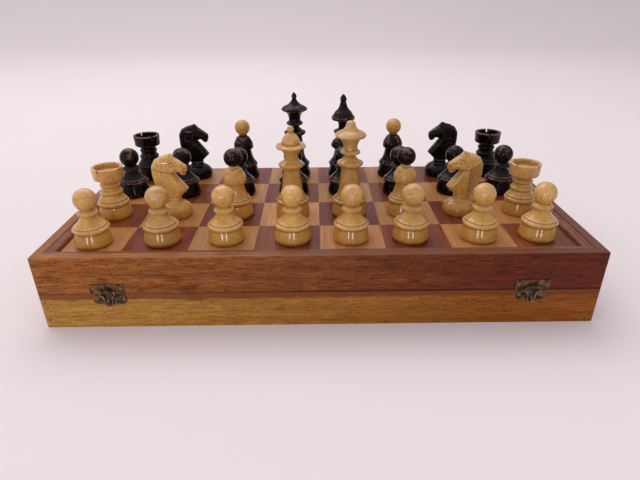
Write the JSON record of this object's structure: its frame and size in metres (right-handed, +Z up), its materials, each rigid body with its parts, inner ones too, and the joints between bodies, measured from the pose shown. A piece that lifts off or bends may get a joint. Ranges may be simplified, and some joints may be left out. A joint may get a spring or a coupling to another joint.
{
  "type": "chess set with folding board",
  "caption": "Folding wooden chess box, closed, its upper half-board set with turned light and dark chessmen; wire bail clasps in front, hinges behind.",
  "frame": {"origin": "middle of the closed box's footprint, on the surface it stands on", "axes": "+X along the front edge to the right, +Y from the front (clasps) to the back (hinges), +Z up"},
  "size_m": [0.4, 0.2052, 0.1339],
  "materials": {
    "boxwood": "waxed",
    "ebonised_wood": "polished",
    "light_veneer": "satin",
    "dark_veneer": "satin",
    "upper_rail_wood": "satin",
    "lower_rail_wood": "satin",
    "bead_wood": "satin",
    "panel_wood": "raw",
    "clasp_brass": "aged",
    "hinge_brass": "aged",
    "nail_steel": "aged"
  },
  "bodies": {
    "lower_tray": {"lower_front_rail": "lower_rail_wood", "lower_side_rails": "lower_rail_wood", "lower_back_rail": "lower_rail_wood", "lower_panel": "panel_wood", "lower_light_squares": "light_veneer", "lower_dark_squares": "dark_veneer", "lower_bead": "bead_wood", "lower_hinge_leaves": "hinge_brass", "lower_hinge_screws": "hinge_brass", "lower_nails": "nail_steel", "catch_plates": "clasp_brass"},
    "upper_tray": {"upper_front_rail": "upper_rail_wood", "upper_side_rails": "upper_rail_wood", "upper_back_rail": "upper_rail_wood", "upper_panel": "panel_wood", "upper_light_squares": "light_veneer", "upper_dark_squares": "dark_veneer", "upper_bead": "bead_wood", "upper_hinge_leaves": "hinge_brass", "upper_hinge_screws": "hinge_brass", "upper_nails": "nail_steel", "clasp_plates": "clasp_brass"},
    "left_bail": {"left_bail": "clasp_brass"},
    "right_bail": {"right_bail": "clasp_brass"},
    "light_pawn_1": {"light_pawn_1": "boxwood"},
    "light_pawn_2": {"light_pawn_2": "boxwood"},
    "light_pawn_3": {"light_pawn_3": "boxwood"},
    "light_pawn_4": {"light_pawn_4": "boxwood"},
    "light_pawn_5": {"light_pawn_5": "boxwood"},
    "light_pawn_6": {"light_pawn_6": "boxwood"},
    "light_pawn_7": {"light_pawn_7": "boxwood"},
    "light_pawn_8": {"light_pawn_8": "boxwood"},
    "light_rook_left": {"light_rook_left": "boxwood"},
    "light_knight_left": {"light_knight_left": "boxwood"},
    "light_bishop_left": {"light_bishop_left": "boxwood", "light_bishop_left_ball": "ebonised_wood"},
    "light_queen": {"light_queen": "boxwood"},
    "light_king": {"light_king": "boxwood"},
    "light_bishop_right": {"light_bishop_right": "boxwood", "light_bishop_right_ball": "ebonised_wood"},
    "light_knight_right": {"light_knight_right": "boxwood"},
    "light_rook_right": {"light_rook_right": "boxwood"},
    "dark_pawn_1": {"dark_pawn_1": "ebonised_wood"},
    "dark_pawn_2": {"dark_pawn_2": "ebonised_wood"},
    "dark_pawn_3": {"dark_pawn_3": "ebonised_wood"},
    "dark_pawn_4": {"dark_pawn_4": "ebonised_wood"},
    "dark_pawn_5": {"dark_pawn_5": "ebonised_wood"},
    "dark_pawn_6": {"dark_pawn_6": "ebonised_wood"},
    "dark_pawn_7": {"dark_pawn_7": "ebonised_wood"},
    "dark_pawn_8": {"dark_pawn_8": "ebonised_wood"},
    "dark_rook_left": {"dark_rook_left": "ebonised_wood"},
    "dark_knight_left": {"dark_knight_left": "ebonised_wood"},
    "dark_bishop_left": {"dark_bishop_left": "ebonised_wood", "dark_bishop_left_ball": "boxwood"},
    "dark_queen": {"dark_queen": "ebonised_wood"},
    "dark_king": {"dark_king": "ebonised_wood"},
    "dark_bishop_right": {"dark_bishop_right": "ebonised_wood", "dark_bishop_right_ball": "boxwood"},
    "dark_knight_right": {"dark_knight_right": "ebonised_wood"},
    "dark_rook_right": {"dark_rook_right": "ebonised_wood"}
  },
  "joints": [
    {"name": "lid_hinge", "type": "hinge", "parent": "lower_tray", "child": "upper_tray", "pos_m": [0, 0.1002, 0.0285], "axis": [-1, 0, 0], "range_deg": [0, 180]},
    {"name": "left_bail_swing", "type": "hinge", "parent": "upper_tray", "child": "left_bail", "pos_m": [-0.15, -0.10135, 0.0308], "axis": [-1, 0, 0], "range_deg": [0, 170]},
    {"name": "right_bail_swing", "type": "hinge", "parent": "upper_tray", "child": "right_bail", "pos_m": [0.15, -0.10135, 0.0308], "axis": [-1, 0, 0], "range_deg": [0, 170]},
    {"name": "light_pawn_1_lift", "type": "slide", "parent": "upper_tray", "child": "light_pawn_1", "axis": [0, 0, 1], "range_m": [0, 0.1]},
    {"name": "light_pawn_2_lift", "type": "slide", "parent": "upper_tray", "child": "light_pawn_2", "axis": [0, 0, 1], "range_m": [0, 0.1]},
    {"name": "light_pawn_3_lift", "type": "slide", "parent": "upper_tray", "child": "light_pawn_3", "axis": [0, 0, 1], "range_m": [0, 0.1]},
    {"name": "light_pawn_4_lift", "type": "slide", "parent": "upper_tray", "child": "light_pawn_4", "axis": [0, 0, 1], "range_m": [0, 0.1]},
    {"name": "light_pawn_5_lift", "type": "slide", "parent": "upper_tray", "child": "light_pawn_5", "axis": [0, 0, 1], "range_m": [0, 0.1]},
    {"name": "light_pawn_6_lift", "type": "slide", "parent": "upper_tray", "child": "light_pawn_6", "axis": [0, 0, 1], "range_m": [0, 0.1]},
    {"name": "light_pawn_7_lift", "type": "slide", "parent": "upper_tray", "child": "light_pawn_7", "axis": [0, 0, 1], "range_m": [0, 0.1]},
    {"name": "light_pawn_8_lift", "type": "slide", "parent": "upper_tray", "child": "light_pawn_8", "axis": [0, 0, 1], "range_m": [0, 0.1]},
    {"name": "light_rook_left_lift", "type": "slide", "parent": "upper_tray", "child": "light_rook_left", "axis": [0, 0, 1], "range_m": [0, 0.1]},
    {"name": "light_knight_left_lift", "type": "slide", "parent": "upper_tray", "child": "light_knight_left", "axis": [0, 0, 1], "range_m": [0, 0.1]},
    {"name": "light_bishop_left_lift", "type": "slide", "parent": "upper_tray", "child": "light_bishop_left", "axis": [0, 0, 1], "range_m": [0, 0.1]},
    {"name": "light_queen_lift", "type": "slide", "parent": "upper_tray", "child": "light_queen", "axis": [0, 0, 1], "range_m": [0, 0.1]},
    {"name": "light_king_lift", "type": "slide", "parent": "upper_tray", "child": "light_king", "axis": [0, 0, 1], "range_m": [0, 0.1]},
    {"name": "light_bishop_right_lift", "type": "slide", "parent": "upper_tray", "child": "light_bishop_right", "axis": [0, 0, 1], "range_m": [0, 0.1]},
    {"name": "light_knight_right_lift", "type": "slide", "parent": "upper_tray", "child": "light_knight_right", "axis": [0, 0, 1], "range_m": [0, 0.1]},
    {"name": "light_rook_right_lift", "type": "slide", "parent": "upper_tray", "child": "light_rook_right", "axis": [0, 0, 1], "range_m": [0, 0.1]},
    {"name": "dark_pawn_1_lift", "type": "slide", "parent": "upper_tray", "child": "dark_pawn_1", "axis": [0, 0, 1], "range_m": [0, 0.1]},
    {"name": "dark_pawn_2_lift", "type": "slide", "parent": "upper_tray", "child": "dark_pawn_2", "axis": [0, 0, 1], "range_m": [0, 0.1]},
    {"name": "dark_pawn_3_lift", "type": "slide", "parent": "upper_tray", "child": "dark_pawn_3", "axis": [0, 0, 1], "range_m": [0, 0.1]},
    {"name": "dark_pawn_4_lift", "type": "slide", "parent": "upper_tray", "child": "dark_pawn_4", "axis": [0, 0, 1], "range_m": [0, 0.1]},
    {"name": "dark_pawn_5_lift", "type": "slide", "parent": "upper_tray", "child": "dark_pawn_5", "axis": [0, 0, 1], "range_m": [0, 0.1]},
    {"name": "dark_pawn_6_lift", "type": "slide", "parent": "upper_tray", "child": "dark_pawn_6", "axis": [0, 0, 1], "range_m": [0, 0.1]},
    {"name": "dark_pawn_7_lift", "type": "slide", "parent": "upper_tray", "child": "dark_pawn_7", "axis": [0, 0, 1], "range_m": [0, 0.1]},
    {"name": "dark_pawn_8_lift", "type": "slide", "parent": "upper_tray", "child": "dark_pawn_8", "axis": [0, 0, 1], "range_m": [0, 0.1]},
    {"name": "dark_rook_left_lift", "type": "slide", "parent": "upper_tray", "child": "dark_rook_left", "axis": [0, 0, 1], "range_m": [0, 0.1]},
    {"name": "dark_knight_left_lift", "type": "slide", "parent": "upper_tray", "child": "dark_knight_left", "axis": [0, 0, 1], "range_m": [0, 0.1]},
    {"name": "dark_bishop_left_lift", "type": "slide", "parent": "upper_tray", "child": "dark_bishop_left", "axis": [0, 0, 1], "range_m": [0, 0.1]},
    {"name": "dark_queen_lift", "type": "slide", "parent": "upper_tray", "child": "dark_queen", "axis": [0, 0, 1], "range_m": [0, 0.1]},
    {"name": "dark_king_lift", "type": "slide", "parent": "upper_tray", "child": "dark_king", "axis": [0, 0, 1], "range_m": [0, 0.1]},
    {"name": "dark_bishop_right_lift", "type": "slide", "parent": "upper_tray", "child": "dark_bishop_right", "axis": [0, 0, 1], "range_m": [0, 0.1]},
    {"name": "dark_knight_right_lift", "type": "slide", "parent": "upper_tray", "child": "dark_knight_right", "axis": [0, 0, 1], "range_m": [0, 0.1]},
    {"name": "dark_rook_right_lift", "type": "slide", "parent": "upper_tray", "child": "dark_rook_right", "axis": [0, 0, 1], "range_m": [0, 0.1]}
  ]
}
